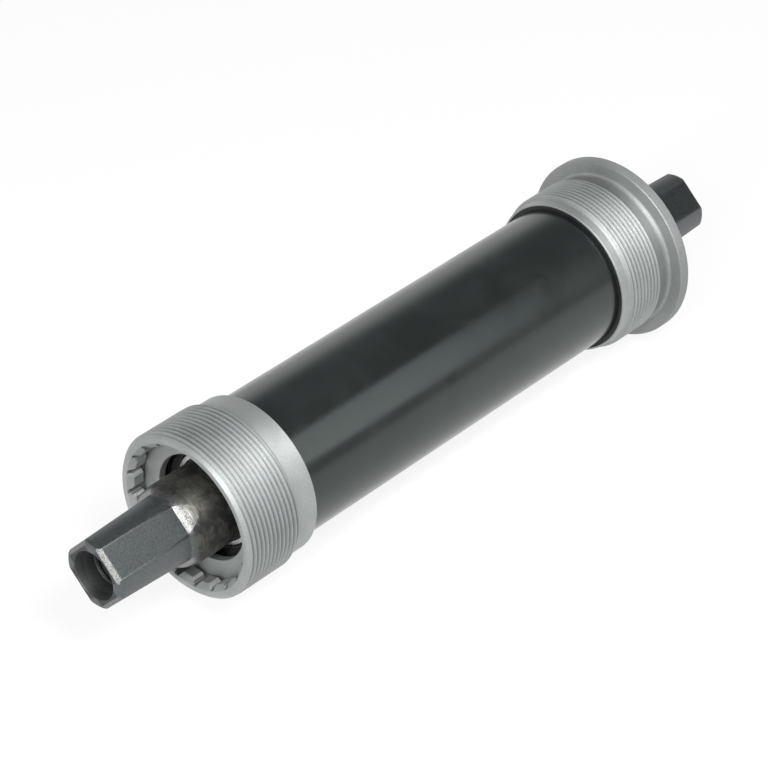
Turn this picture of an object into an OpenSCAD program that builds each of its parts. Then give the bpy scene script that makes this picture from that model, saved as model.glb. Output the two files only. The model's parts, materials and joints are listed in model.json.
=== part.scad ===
// Cartridge bottom bracket for a wide bicycle frame shell, with a square-taper spindle.
// The spindle runs along X. +X is the drive side, where the flanged cup sits, and +Z is up.
// The origin is the middle of the spindle. All sizes are in millimetres.

/* [Frame shell] */
// Width of the frame's bottom bracket shell
shell_width = 120; // [100:1:140]
// How far the spindle stands out of the shell on the drive side
drive_overhang = 24.05; // [22:0.05:34]
// How far the spindle stands out of the shell on the other side
left_overhang = 26.95; // [25:0.05:36]
// Outer diameter of the cup threads
thread_d = 34.8; // [32:0.1:42]
// Distance from one thread ridge to the next
thread_pitch = 1.058; // [0.8:0.001:1.4]
// Depth of the thread
thread_depth = 0.56; // [0.3:0.01:0.7]
// Flat left on each thread ridge and in each thread root
thread_flat = 0.16; // [0.1:0.01:0.2]

/* [Spindle] */
// Diameter where the bearings sit
journal_d = 17; // [16:0.1:20.5]
// Distance across the square's flats at the spindle's end
taper_flats = 12.73; // [12:0.01:13]
// Slope of each flat
taper_angle = 2; // [1:0.1:3]
// Length of the flats
taper_len = 17.75; // [14:0.05:21.5]
// Radial step from the journal down to the square's corners at the spindle's end
corner_step = 1.25; // [0.8:0.05:1.5]
// Rise of the square's corners from the spindle's end to the end of the flats
corner_rise = 0.3; // [0.2:0.05:0.7]
// Length of the rounded shoulder over which each flat runs out to the round journal
runout_len = 4; // [2:0.1:5]
// Length along the axis of the bevel around the spindle's end
end_bevel_len = 0.7; // [0.3:0.1:1.2]
// Depth of that bevel on the flats
end_bevel_depth = 0.9; // [0.3:0.1:1]
// Depth of that bevel on the square's corners
corner_bevel_depth = 0.5; // [0.1:0.1:0.6]
// Diameter of the crank bolt's tapped hole
bolt_hole_d = 6.9; // [6:0.1:8]
// Depth of the tapped hole, measured from the spindle's end
bolt_hole_depth = 22; // [16:1:30]
// Diameter of the clearance bore in front of the tapped hole
bolt_relief_d = 8.3; // [8.1:0.1:9]
// Depth of the clearance bore
bolt_relief_depth = 4; // [3:0.1:6]
// Diameter of the countersunk mouth
bolt_mouth_d = 10.4; // [9.2:0.1:10.6]
// Slope of the countersink from the axis
bolt_mouth_angle = 30; // [30:1:45]
// Height of the shoulders that the bearings stand against
shoulder_h = 0.8; // [0.4:0.1:1.2]
// Length of each shoulder
shoulder_len = 6; // [3:0.5:15]
// How far the spindle's waist is turned below the journals
waist_step = 0.5; // [0.1:0.1:1.5]
// How far the spindle is turned about its axis
spindle_turn = 43; // [0:1:90]

/* [Tube] */
// Wall of the tube that carries the bearings
tube_wall = 1.25; // [1:0.05:1.5]
// Depth of each bearing inside the end of the tube
bearing_inset = 1.5; // [1:0.1:3]
// Radial height of the rolled lip that holds each bearing in
lip_h = 0.7; // [0.3:0.1:0.9]
// Bevel around the tube's outer ends
tube_bevel = 0.4; // [0.2:0.1:0.8]
// Wall of the sleeve that spaces the bearings
sleeve_wall = 0.8; // [0.6:0.1:1]
// Room between the sleeve and the tube
sleeve_fit = 0.1; // [0.05:0.01:0.2]

/* [Bearings] */
// Wall of each bearing ring under the balls
ring_wall = 0.95; // [0.8:0.05:1.2]
// Least room between two balls of a bearing
ball_space = 2.3; // [1.4:0.1:3]
// Room between a ball and its raceways
race_gap = 0.05; // [0.02:0.01:0.1]
// Raceway radius over ball radius
race_ratio = 1.06; // [1.04:0.01:1.1]
// Bevel on the rings' corners
ring_bevel = 0.3; // [0.1:0.05:0.4]
// Thickness of a seal
seal_t = 0.7; // [0.5:0.05:0.9]
// How far a seal lies below the bearing's face
seal_inset = 0.15; // [0.1:0.05:0.3]
// Width of the seal's seat in the outer ring
seal_seat = 0.35; // [0.2:0.05:0.4]
// Room between a seal's lip and the inner ring
lip_gap = 0.1; // [0.05:0.01:0.2]
// Wall of the cage behind each ball
cage_wall = 0.5; // [0.4:0.05:0.6]
// Room between the cage and each seal
cage_room = 0.32; // [0.2:0.01:0.6]
// Room between a ball and its cage pocket
pocket_gap = 0.08; // [0.05:0.01:0.15]

/* [Cups] */
// Radial step from the thread down to the plain band
pilot_step = 0.85; // [0.7:0.05:1]
// Wall of the plain band around the tube
pilot_wall = 1.25; // [1:0.05:1.5]
// Radial room between the left cup and the tube
cup_fit = 0.05; // [0.03:0.01:0.1]
// How far the left cup stands out of the shell
left_proud = 4; // [1:0.05:6]
// Length of the left cup
left_cup_len = 18.55; // [17:0.05:24]
// Length of the left cup's thread
left_thread_len = 11.85; // [9:0.05:12.5]
// Bevel in front of the left cup's thread
lead_bevel = 0.9; // [0.3:0.1:1.2]
// Length of the slope between thread and plain band
pilot_slope = 0.6; // [0.4:0.1:1]
// Length of the drive-side cup
drive_cup_len = 17.3; // [16.5:0.1:24]
// Length of the drive-side cup's thread
drive_thread_len = 8.3; // [6:0.1:8.5]
// Height of the flange above the thread's ridges
flange_step = 2.52; // [1.8:0.02:5]
// Thickness of the flange
flange_t = 2.5; // [2:0.1:4]
// Bevel around the flange's edges
flange_bevel = 0.3; // [0.2:0.05:0.6]
// Length of the relief between flange and thread
relief_len = 3.75; // [2:0.05:4]
// Depth of the relief below the thread's ridges
relief_depth = 0.9; // [0.7:0.05:0.95]
// Radius in the corner between relief and flange
relief_fillet = 1; // [0.5:0.1:1.5]

/* [Tool sockets] */
// Splines in each cup
spline_count = 20; // [16:1:24]
// How far the first spline groove is turned about the axis
spline_turn = 11; // [0:1:18]
// Material between the spline roots and the thread's ridges
spline_wall = 2; // [1.5:0.05:2.5]
// Height of a spline
spline_h = 1.05; // [0.8:0.05:2]
// Width of a spline groove at its root
groove_root = 1.1; // [0.6:0.1:1.6]
// Width of a spline groove at the spline tips
groove_mouth = 1.6; // [1:0.1:2.2]
// Length of the splines
spline_len = 3.4; // [2.5:0.1:3.6]
// Depth of the socket
socket_depth = 4.35; // [3.7:0.05:5]
// Depth of the cone at the socket's mouth
mouth_depth = 1.1; // [0.3:0.05:1.5]
// Width of the flat rim around the socket's mouth
rim_w = 1.05; // [0.4:0.05:1.5]
// Thickness of the web at the bottom of the socket
web_t = 1.7; // [1:0.1:2.5]
// Radial room between the web and the spindle
web_gap = 2.6; // [1.5:0.1:3]
// Gap between the left cup's web and the end of the tube
end_gap = 0.3; // [0.1:0.1:0.6]

/* [Rubber rings] */
// Length of the rubber ring in each cup's inner end
rubber_len = 1.8; // [1:0.1:2.5]
// How far the rubber ring lies inside the cup
rubber_inset = 0.15; // [0.1:0.05:0.6]
// Wall of the cup around the rubber ring
rubber_wall = 0.4; // [0.2:0.05:0.6]

/* [Hidden] */
$fn = 96;
eps = 0.01;
over = 1;
spindle_len = left_overhang + shell_width + drive_overhang;
shell_middle = (left_overhang - drive_overhang) / 2;
seat_x = shell_middle + shell_width / 2;
left_face_x = shell_middle - shell_width / 2 - left_proud;
drive_face_x = seat_x + flange_t;
web_back = socket_depth + web_t;

thread_r = thread_d / 2;
pilot_r = thread_r - pilot_step;
tube_r = pilot_r - pilot_wall - cup_fit;
tube_bore_r = tube_r - tube_wall;
tube_left_x = left_face_x + web_back + end_gap;
tube_right_x = drive_face_x - web_back;
journal_r = journal_d / 2;
web_r = journal_r + web_gap;
rubber_r = pilot_r - rubber_wall;
spline_root_r = thread_r - spline_wall;
spline_tip_r = spline_root_r - spline_h;
rim_r = thread_r - lead_bevel;
mouth_r = rim_r - rim_w;
relief_r = thread_r - relief_depth;

bearing_left_x = tube_left_x + bearing_inset;
bearing_right_x = tube_right_x - bearing_inset;
pitch_r = (tube_bore_r + journal_r) / 2;
ball_r = (tube_bore_r - journal_r) / 2 - ring_wall - race_gap;
ball_count = floor(180 / asin((2 * ball_r + ball_space) / (2 * pitch_r)));
race_r = race_ratio * ball_r;
land_share = 0.8;
cage_share = 0.4;
inner_land_r = pitch_r - land_share * ball_r;
outer_land_r = pitch_r + land_share * ball_r;
seal_seat_r = outer_land_r + seal_seat;
seal_depth = seal_inset + seal_t;
cage_reach = ball_r + pocket_gap + cage_wall;
bearing_w = 2 * (cage_reach + cage_room + seal_depth);

flat_h = taper_flats / 2;
corner_r = journal_r - corner_step;
corner_end_r = corner_r + corner_rise;
flat_end_h = flat_h + taper_len * tan(taper_angle);
// Steps of the shoulder behind the flats: shares of its length, of the flats' rise and of the corners' rise
shoulder_steps = [
    [0.22, 0.43, 0.55],
    [0.47, 0.74, 0.85],
    [0.73, 0.93, 1]
];

// Turns an outline of [radius, place along X] points about the X axis.
module turned(outline) {
    rotate([0, 90, 0]) rotate_extrude() polygon(outline);
}

// A round ring of circular section about the X axis.
module torus(middle_r, section_r, x) {
    rotate([0, 90, 0]) rotate_extrude() translate([middle_r, x]) circle(r = section_r);
}

// A plain ring between two radii and two places along X.
module band(inner_r, outer_r, x0, x1) {
    turned([[inner_r, x0], [outer_r, x0], [outer_r, x1], [inner_r, x1]]);
}

// What is drawn with X measured inward from a face is placed at the left end or turned to the right one.
module from_left(x) {
    translate([x, 0, 0]) children();
}

module from_right(x) {
    translate([x, 0, 0]) mirror([1, 0, 0]) children();
}

// Outline points of a thread's ridges and grooves between two places.
function thread_count(len) = floor(len / thread_pitch - eps);
function thread_outline(x0, len) =
    let (count = thread_count(len), land = (len - count * thread_pitch) / 2)
    [
        for (i = [0 : count - 1])
            let (x = x0 + land + i * thread_pitch)
            for (p = [
                [thread_r, x + thread_flat / 2],
                [thread_r - thread_depth, x + thread_pitch / 2 - thread_flat / 2],
                [thread_r - thread_depth, x + thread_pitch / 2 + thread_flat / 2],
                [thread_r, x + thread_pitch - thread_flat / 2]
            ]) p
    ];

// The inside of a cup, from its inner end back to the mouth of the tool socket.
function cup_inside(len, bore_r) = [
    [rubber_r, len],
    [rubber_r, len - rubber_inset - rubber_len],
    [bore_r, len - rubber_inset - rubber_len],
    [bore_r, web_back],
    [web_r, web_back],
    [web_r, socket_depth],
    [spline_root_r, socket_depth],
    [spline_root_r, spline_len],
    [spline_tip_r, spline_len],
    [spline_tip_r, mouth_depth],
    [mouth_r, 0]
];

// The plain band and the slope that leads to it from the end of a thread.
function pilot_outline(thread_end, len) = [
    [thread_r, thread_end],
    [pilot_r, thread_end + pilot_slope],
    [pilot_r, len]
];

module spline_grooves() {
    flare = (groove_mouth - groove_root) / 2 / spline_h;
    inner_half = groove_mouth / 2 + over * flare;
    for (i = [0 : spline_count - 1])
        rotate([spline_turn + i * 360 / spline_count, 0, 0])
            translate([-over, 0, 0])
                rotate([90, 0, 90])
                    linear_extrude(over + spline_len + eps)
                        polygon([
                            [spline_tip_r - over, -inner_half],
                            [spline_root_r, -groove_root / 2],
                            [spline_root_r, groove_root / 2],
                            [spline_tip_r - over, inner_half]
                        ]);
}

module left_cup() {
    thread_end = lead_bevel + left_thread_len;
    color("silver") from_left(left_face_x) difference() {
        turned(concat(
            [[rim_r, 0], [thread_r, lead_bevel]],
            thread_outline(lead_bevel, left_thread_len),
            pilot_outline(thread_end, left_cup_len),
            cup_inside(left_cup_len, tube_r + cup_fit)
        ));
        spline_grooves();
    }
}

// The rounded inner corner between the thread relief and the flange.
module flange_corner() {
    rotate([0, 90, 0]) rotate_extrude() difference() {
        translate([relief_r - eps, flange_t - eps]) square(relief_fillet + eps);
        translate([relief_r + relief_fillet, flange_t + relief_fillet]) circle(r = relief_fillet);
    }
}

module right_cup() {
    flange_r = thread_r + flange_step;
    thread_start = flange_t + relief_len;
    thread_end = thread_start + drive_thread_len;
    color("silver") from_right(drive_face_x) difference() {
        union() {
            turned(concat(
                [
                    [flange_r - flange_bevel, 0],
                    [flange_r, flange_bevel],
                    [flange_r, flange_t - flange_bevel],
                    [flange_r - flange_bevel, flange_t],
                    [relief_r, flange_t],
                    [relief_r, thread_start],
                    [thread_r, thread_start]
                ],
                thread_outline(thread_start, drive_thread_len),
                pilot_outline(thread_end, drive_cup_len),
                cup_inside(drive_cup_len, tube_r)
            ));
            flange_corner();
        }
        spline_grooves();
    }
}

module rubber_ring(len, inner_r) {
    color("#161616") band(inner_r, rubber_r, len - rubber_inset - rubber_len, len - rubber_inset);
}

module left_rubber_ring() {
    from_left(left_face_x) rubber_ring(left_cup_len, tube_r + cup_fit);
}

module right_rubber_ring() {
    from_right(drive_face_x) rubber_ring(drive_cup_len, tube_r);
}

module shell_tube() {
    lip_r = tube_bore_r - lip_h;
    color("#1b1d1e") turned([
        [lip_r, tube_left_x],
        [tube_r - tube_bevel, tube_left_x],
        [tube_r, tube_left_x + tube_bevel],
        [tube_r, tube_right_x - tube_bevel],
        [tube_r - tube_bevel, tube_right_x],
        [lip_r, tube_right_x],
        [lip_r, bearing_right_x],
        [tube_bore_r, bearing_right_x],
        [tube_bore_r, bearing_left_x],
        [lip_r, bearing_left_x]
    ]);
}

module spacer_sleeve() {
    sleeve_r = tube_bore_r - sleeve_fit;
    color("#d8d8d0") band(
        sleeve_r - sleeve_wall, sleeve_r,
        bearing_left_x + bearing_w, bearing_right_x - bearing_w
    );
}

// The shoulder behind the square's corners, from its step nearest to the spindle's end inward.
function shoulder_outline(start, inward) = [
    for (step = shoulder_steps)
        [corner_end_r + step[2] * (journal_r - corner_end_r), start + inward * step[0] * runout_len]
];

// The same shoulder at the right end, from its innermost step outward.
function right_shoulder_outline(start) =
    let (steps = shoulder_outline(start, -1))
    [for (i = [len(steps) - 1 : -1 : 0]) steps[i]];

// The spindle's turned blank, from the left end to the right one.
function spindle_outline() =
    let (
        tip = -spindle_len / 2,
        flats_end = tip + taper_len,
        shoulder_r = journal_r + shoulder_h,
        waist_r = journal_r - waist_step,
        left_shoulder = bearing_left_x + bearing_w,
        right_shoulder = bearing_right_x - bearing_w
    )
    concat([
        [0, tip],
        [corner_r - corner_bevel_depth, tip],
        [corner_r, tip + end_bevel_len],
        [corner_end_r, flats_end]
    ], shoulder_outline(flats_end, 1), [
        [journal_r, left_shoulder],
        [shoulder_r, left_shoulder],
        [shoulder_r, left_shoulder + shoulder_len],
        [waist_r, left_shoulder + 2 * shoulder_len],
        [waist_r, right_shoulder - 2 * shoulder_len],
        [shoulder_r, right_shoulder - shoulder_len],
        [shoulder_r, right_shoulder],
        [journal_r, right_shoulder]
    ], right_shoulder_outline(-flats_end), [
        [corner_end_r, -flats_end],
        [corner_r, -tip - end_bevel_len],
        [corner_r - corner_bevel_depth, -tip],
        [0, -tip]
    ]);

// What is cut away above one flat, with X measured inward from the spindle's end.
module flat_cut() {
    clear_h = 2 * journal_r;
    bevel_slope = end_bevel_depth / end_bevel_len;
    bevel_h = flat_h + end_bevel_len * tan(taper_angle);
    rise = journal_r + eps - flat_end_h;
    rotate([90, 0, 0]) linear_extrude(2 * clear_h, center = true) polygon(concat([
        [-over, bevel_h - end_bevel_depth - over * bevel_slope],
        [end_bevel_len, bevel_h],
        [taper_len, flat_end_h]
    ], [
        for (step = shoulder_steps) [taper_len + step[0] * runout_len, flat_end_h + step[1] * rise]
    ], [
        [taper_len + runout_len, journal_r + eps],
        [taper_len + runout_len, clear_h],
        [-over, clear_h]
    ]));
}

module bolt_hole() {
    relief_r_bolt = bolt_relief_d / 2;
    hole_r = bolt_hole_d / 2;
    mouth_r_bolt = bolt_mouth_d / 2;
    cone_slope = tan(bolt_mouth_angle);
    cone_len = (mouth_r_bolt - relief_r_bolt) / cone_slope;
    turned([
        [0, -over],
        [mouth_r_bolt + over * cone_slope, -over],
        [relief_r_bolt, cone_len],
        [relief_r_bolt, bolt_relief_depth],
        [hole_r, bolt_relief_depth + (relief_r_bolt - hole_r)],
        [hole_r, bolt_hole_depth],
        [0, bolt_hole_depth + hole_r * cone_slope]
    ]);
}

module spindle_end_cuts() {
    for (turn = [0 : 90 : 270]) rotate([turn, 0, 0]) flat_cut();
    bolt_hole();
}

module spindle() {
    color("#26282a") rotate([spindle_turn - 90, 0, 0]) difference() {
        turned(spindle_outline());
        from_left(-spindle_len / 2) spindle_end_cuts();
        from_right(spindle_len / 2) spindle_end_cuts();
    }
}

// Outline of a bearing ring between two radii, with bevelled corners.
function ring_outline(inner_r, outer_r) = [
    [inner_r, ring_bevel],
    [inner_r + ring_bevel, 0],
    [outer_r - ring_bevel, 0],
    [outer_r, ring_bevel],
    [outer_r, bearing_w - ring_bevel],
    [outer_r - ring_bevel, bearing_w],
    [inner_r + ring_bevel, bearing_w],
    [inner_r, bearing_w - ring_bevel]
];

module bearing_outer_ring() {
    color("#9a9da0") difference() {
        turned(ring_outline(outer_land_r, tube_bore_r));
        torus(pitch_r + ball_r + race_gap - race_r, race_r, bearing_w / 2);
        band(0, seal_seat_r, -over, seal_depth);
        band(0, seal_seat_r, bearing_w - seal_depth, bearing_w + over);
    }
}

module bearing_inner_ring() {
    color("#b8bbbd") difference() {
        turned(ring_outline(journal_r, inner_land_r));
        torus(pitch_r - ball_r - race_gap + race_r, race_r, bearing_w / 2);
    }
}

module at_each_ball() {
    for (i = [0 : ball_count - 1])
        rotate([i * 360 / ball_count, 0, 0]) translate([bearing_w / 2, 0, pitch_r]) children();
}

module bearing_balls() {
    color("#d5d8da") at_each_ball() sphere(r = ball_r);
}

// The cage's inner half: a ring with a round pocket for each ball.
module cage_half() {
    half_band = cage_share * ball_r;
    middle = bearing_w / 2;
    color("#8f8a7c") difference() {
        band(pitch_r - half_band, pitch_r + half_band, middle, middle + cage_reach);
        at_each_ball() sphere(r = ball_r + pocket_gap);
    }
}

module bearing_seal(x) {
    color("#141414") band(inner_land_r + lip_gap, seal_seat_r, x, x + seal_t);
}

module outer_seal() {
    bearing_seal(seal_inset);
}

module inner_seal() {
    bearing_seal(bearing_w - seal_depth);
}

module left_bearing_outer_ring() {
    from_left(bearing_left_x) bearing_outer_ring();
}

module left_bearing_inner_ring() {
    from_left(bearing_left_x) bearing_inner_ring();
}

module left_bearing_balls() {
    from_left(bearing_left_x) bearing_balls();
}

module left_cage_outer_half() {
    from_left(bearing_left_x) from_right(bearing_w) cage_half();
}

module left_cage_inner_half() {
    from_left(bearing_left_x) cage_half();
}

module left_outer_seal() {
    from_left(bearing_left_x) outer_seal();
}

module left_inner_seal() {
    from_left(bearing_left_x) inner_seal();
}

module right_bearing_outer_ring() {
    from_right(bearing_right_x) bearing_outer_ring();
}

module right_bearing_inner_ring() {
    from_right(bearing_right_x) bearing_inner_ring();
}

module right_bearing_balls() {
    from_right(bearing_right_x) bearing_balls();
}

module right_cage_outer_half() {
    from_right(bearing_right_x) from_right(bearing_w) cage_half();
}

module right_cage_inner_half() {
    from_right(bearing_right_x) cage_half();
}

module right_outer_seal() {
    from_right(bearing_right_x) outer_seal();
}

module right_inner_seal() {
    from_right(bearing_right_x) inner_seal();
}

spindle();
shell_tube();
left_cup();
right_cup();
left_rubber_ring();
right_rubber_ring();
spacer_sleeve();
left_bearing_outer_ring();
left_bearing_inner_ring();
left_bearing_balls();
left_cage_outer_half();
left_cage_inner_half();
left_outer_seal();
left_inner_seal();
right_bearing_outer_ring();
right_bearing_inner_ring();
right_bearing_balls();
right_cage_outer_half();
right_cage_inner_half();
right_outer_seal();
right_inner_seal();
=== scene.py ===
# %% [markdown]
# # A cartridge bottom bracket
# The bottom bracket is the sealed bearing unit that a bicycle's cranks turn in. A dark steel spindle
# runs through a black tube, and a silver threaded cup holds each end of the tube in the frame.
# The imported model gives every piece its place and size. This lesson gives the pieces that show a
# finer mesh and every piece its finish. All lengths are in metres, and MM turns millimetres into them.

# %% Load the frame
import json
import math

import bmesh
import bpy
from mathutils import Matrix, Vector


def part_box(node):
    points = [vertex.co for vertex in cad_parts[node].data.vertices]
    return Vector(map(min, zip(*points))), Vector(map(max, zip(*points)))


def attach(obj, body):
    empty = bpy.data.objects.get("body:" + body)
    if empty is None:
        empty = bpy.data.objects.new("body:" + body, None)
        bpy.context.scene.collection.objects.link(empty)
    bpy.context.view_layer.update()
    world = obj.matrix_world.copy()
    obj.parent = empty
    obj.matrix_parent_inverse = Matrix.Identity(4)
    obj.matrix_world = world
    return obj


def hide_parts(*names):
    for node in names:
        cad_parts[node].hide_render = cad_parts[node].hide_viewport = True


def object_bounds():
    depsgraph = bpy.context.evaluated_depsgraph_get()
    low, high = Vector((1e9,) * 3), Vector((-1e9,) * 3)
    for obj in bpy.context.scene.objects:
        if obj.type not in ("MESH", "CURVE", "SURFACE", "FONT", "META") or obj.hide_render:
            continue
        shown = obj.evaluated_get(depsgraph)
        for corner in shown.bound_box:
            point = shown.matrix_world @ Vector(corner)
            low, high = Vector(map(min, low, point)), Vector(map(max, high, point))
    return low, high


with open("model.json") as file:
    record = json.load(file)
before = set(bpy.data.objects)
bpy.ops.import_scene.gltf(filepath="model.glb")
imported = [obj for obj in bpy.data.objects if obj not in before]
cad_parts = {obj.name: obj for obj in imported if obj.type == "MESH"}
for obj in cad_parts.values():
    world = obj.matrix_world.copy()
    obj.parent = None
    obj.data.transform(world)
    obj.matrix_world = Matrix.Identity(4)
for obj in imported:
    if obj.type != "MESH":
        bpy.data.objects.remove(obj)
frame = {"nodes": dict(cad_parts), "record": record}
cad_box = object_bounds()
MM = 0.001

# %% [markdown]
# ## The camera
# The photo looks down at the unit from its left front corner through a long lens. The lens and the
# direction were worked out from the outlines of the round pieces. The camera could be turned by hand
# until the picture fits, but it is safer to say where one known point, on the axis in the left cup's
# mouth, lies in the camera's own axes, and to work the camera's place out from that.

# %% Camera
AZIMUTH = math.radians(-47.46)
ELEVATION = math.radians(35.74)
PHOTO_PIXELS = 768
FOCAL_PIXELS = 3068.2
SENSOR_WIDTH = 36.0
KNOWN_POINT = Vector((-62.2, 0, 0)) * MM
POINT_IN_VIEW = Vector((-36.95, -24.81, -570.12)) * MM
NEAR_CLIP = 10 * MM

camera_turn = (math.pi / 2 - ELEVATION, 0, AZIMUTH)
view_axes = Matrix.Rotation(AZIMUTH, 3, "Z") @ Matrix.Rotation(camera_turn[0], 3, "X")
bpy.ops.object.camera_add(location=KNOWN_POINT - view_axes @ POINT_IN_VIEW, rotation=camera_turn)
camera = bpy.context.object
camera.name = "photo_camera"
camera.data.sensor_width = SENSOR_WIDTH
camera.data.lens = FOCAL_PIXELS / PHOTO_PIXELS * SENSOR_WIDTH
camera.data.clip_start = NEAR_CLIP
bpy.context.scene.camera = camera
print("camera:", [round(v, 4) for v in camera.location], "lens", round(camera.data.lens, 1))

# %% [markdown]
# ## Shader helpers
# A finish is a small network of nodes. Placing a node, setting its inputs and joining it to others is
# the same job each time, so one helper does it: an input that is given a socket is linked, and one that
# is given a number or a colour is set.

# %% Node helper
def set_input(tree, socket, value):
    if isinstance(value, bpy.types.NodeSocket):
        tree.links.new(value, socket)
    else:
        socket.default_value = value


def add_node(tree, kind, inputs=None, **settings):
    node = tree.nodes.new(kind)
    for name, value in settings.items():
        setattr(node, name, value)
    for name, value in (inputs or {}).items():
        set_input(tree, node.inputs[name], value)
    return node


def math_node(tree, operation, first, second=0.0):
    node = add_node(tree, "ShaderNodeMath", {0: first, 1: second}, operation=operation)
    return node.outputs[0]


def combine(tree, operation, *values):
    """One operation, such as MULTIPLY or MAXIMUM, carried through all the values."""
    result = values[0]
    for value in values[1:]:
        result = math_node(tree, operation, result, value)
    return result


def map_range(tree, value, low, high, to_low=0.0, to_high=1.0):
    inputs = {"Value": value, "From Min": low, "From Max": high, "To Min": to_low, "To Max": to_high}
    node = add_node(tree, "ShaderNodeMapRange", inputs, interpolation_type="SMOOTHSTEP")
    return node.outputs["Result"]


def band(tree, value, rise, fall):
    """A mask that fades in over the range rise and out again over the range fall."""
    return math_node(tree, "MULTIPLY", map_range(tree, value, *rise), map_range(tree, value, *fall))


def mix_colour(tree, mask, first, second):
    node = add_node(tree, "ShaderNodeMix", data_type="RGBA")
    for name, value in {"Factor_Float": mask, "A_Color": first, "B_Color": second}.items():
        set_input(tree, next(s for s in node.inputs if s.identifier == name), value)
    return next(s for s in node.outputs if s.identifier == "Result_Color")


def new_group(name, inputs, outputs):
    group = bpy.data.node_groups.new(name, "ShaderNodeTree")
    for socket, kind in inputs.items():
        group.interface.new_socket(socket, in_out="INPUT", socket_type=kind)
    for socket, kind in outputs.items():
        group.interface.new_socket(socket, in_out="OUTPUT", socket_type=kind)
    return group, group.nodes.new("NodeGroupInput"), group.nodes.new("NodeGroupOutput")


def use_group(tree, group, inputs):
    return add_node(tree, "ShaderNodeGroup", inputs, node_tree=group)


print("helpers ready")

# %% [markdown]
# ## Floor, world and light
# The unit lies on white paper, and the paper is a pale floor at the height of the flange's lowest point.
# To the camera the floor and the world are plain white, and the floor keeps a faint shadow. The gloss of
# the metal shows the white paper too, but above it a photo tent is white only low down at the back, and
# darker overhead and behind the camera. Without that difference, round metal would look flat.

# %% Floor and world
FLOOR_SIZE = 4.0
FLOOR_TONE = (0.86, 0.86, 0.86, 1)
WHITE = (1, 1, 1, 1)
PAPER_GLOW = 0.88
WORLD_LIGHT = 0.30
TENT_TOP = 0.26
TENT_TOP_FADE = (0.20, 0.60)
TENT_FRONT = 0.45
TENT_FRONT_FADE = (-0.75, -0.10)


def ray_kinds(tree):
    """Masks of the camera's own rays, and of the rays that gloss and glass send on."""
    path = add_node(tree, "ShaderNodeLightPath").outputs
    gloss = math_node(tree, "MAXIMUM", path["Is Glossy Ray"], path["Is Transmission Ray"])
    return path["Is Camera Ray"], gloss


bpy.ops.object.select_all(action="DESELECT")
bpy.ops.mesh.primitive_plane_add(size=FLOOR_SIZE, location=(0, 0, cad_box[0][2]))
floor = bpy.context.object
floor.name = "floor"
paper = bpy.data.materials.new("white_paper")
paper.use_nodes = True
tree = paper.node_tree
tree.nodes.clear()
sheet_shader = add_node(tree, "ShaderNodeBsdfDiffuse", {"Color": FLOOR_TONE})
glow = add_node(tree, "ShaderNodeEmission", {"Color": WHITE, "Strength": 1.0})
seen_directly = math_node(tree, "MAXIMUM", *ray_kinds(tree))
share = math_node(tree, "MULTIPLY", seen_directly, PAPER_GLOW)
paper_mix = add_node(tree, "ShaderNodeMixShader",
                     {0: share, 1: sheet_shader.outputs[0], 2: glow.outputs[0]})
add_node(tree, "ShaderNodeOutputMaterial", {"Surface": paper_mix.outputs[0]})
floor.data.materials.append(paper)

world = bpy.data.worlds.new("white_tent")
bpy.context.scene.world = world
world.use_nodes = True
tree = world.node_tree
tree.nodes.clear()
direction = add_node(tree, "ShaderNodeTexCoord").outputs["Generated"]
parts = add_node(tree, "ShaderNodeSeparateXYZ", {"Vector": direction}).outputs
overhead = map_range(tree, parts["Z"], *TENT_TOP_FADE, 1.0, TENT_TOP)
behind_camera = map_range(tree, parts["Y"], *TENT_FRONT_FADE, TENT_FRONT, 1.0)
tent = math_node(tree, "MULTIPLY", overhead, behind_camera)
camera_ray, gloss_ray = ray_kinds(tree)
level = map_range(tree, gloss_ray, 0, 1, WORLD_LIGHT, tent)
level = map_range(tree, camera_ray, 0, 1, level, 1.0)
sky = add_node(tree, "ShaderNodeBackground", {"Color": WHITE, "Strength": level})
add_node(tree, "ShaderNodeOutputWorld", {"Surface": sky.outputs[0]})
print("floor at", round(cad_box[0][2], 4))

# %% [markdown]
# ### Lamps
# Three soft boxes light the unit. The front lamp stands near the camera on the side of the spindle's near
# end, and is a narrow strip along the tube: it whitens the rim and the ground end of the spindle, and the
# spindle throws its shadow into the socket. The upper lamp is the broad sheen on the tube. The side lamp is
# weak and lifts the flats of the spindle.

# %% Lamps
NEAR_END = (-85, 0, 0)


def soft_lamp(name, azimuth, elevation, distance, size, power, target=(0, 0, 0)):
    """A soft box seen from the target in one direction. The target is in millimetres, the direction in
    degrees, and the rest in metres and watts. Its first side follows the tube, so that its mirror image
    in the tube is a straight band."""
    a = math.radians(azimuth)
    e = math.radians(elevation)
    back = Vector((math.sin(a) * math.cos(e), -math.cos(a) * math.cos(e), math.sin(e)))
    along = Vector((1, 0, 0))
    along = (along - along.dot(back) * back).normalized()
    bpy.ops.object.light_add(type="AREA", location=Vector(target) * MM + back * distance)
    lamp = bpy.context.object
    lamp.name = name
    lamp.data.shape = "RECTANGLE"
    lamp.data.size = size[0]
    lamp.data.size_y = size[1]
    lamp.data.energy = power
    lamp.rotation_euler = Matrix((along, back.cross(along), back)).transposed().to_euler()


soft_lamp("front_lamp", azimuth=-69, elevation=30.5, distance=1.6, size=(0.84, 0.10), power=20.0)
soft_lamp("upper_lamp", azimuth=-20, elevation=54, distance=0.40, size=(0.16, 0.12), power=1.6)
soft_lamp("side_lamp", azimuth=42, elevation=31, distance=0.5, size=(0.20, 0.30), power=0.30,
          target=NEAR_END)
bpy.context.scene.view_settings.view_transform = "Standard"
print("lamps placed")

# %% [markdown]
# ## Modelling helpers
# Almost every piece here is turned on a lathe. By hand that is a chain of vertices, extruded from one
# to the next along half of the section, rounded with a vertex bevel and then spun about the X axis.
# A lathed cylinder with loops scaled one by one would give the same mesh with far more steps.
# What is not round, such as splines, flats and screw threads, is cut with a Boolean afterwards.

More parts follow.
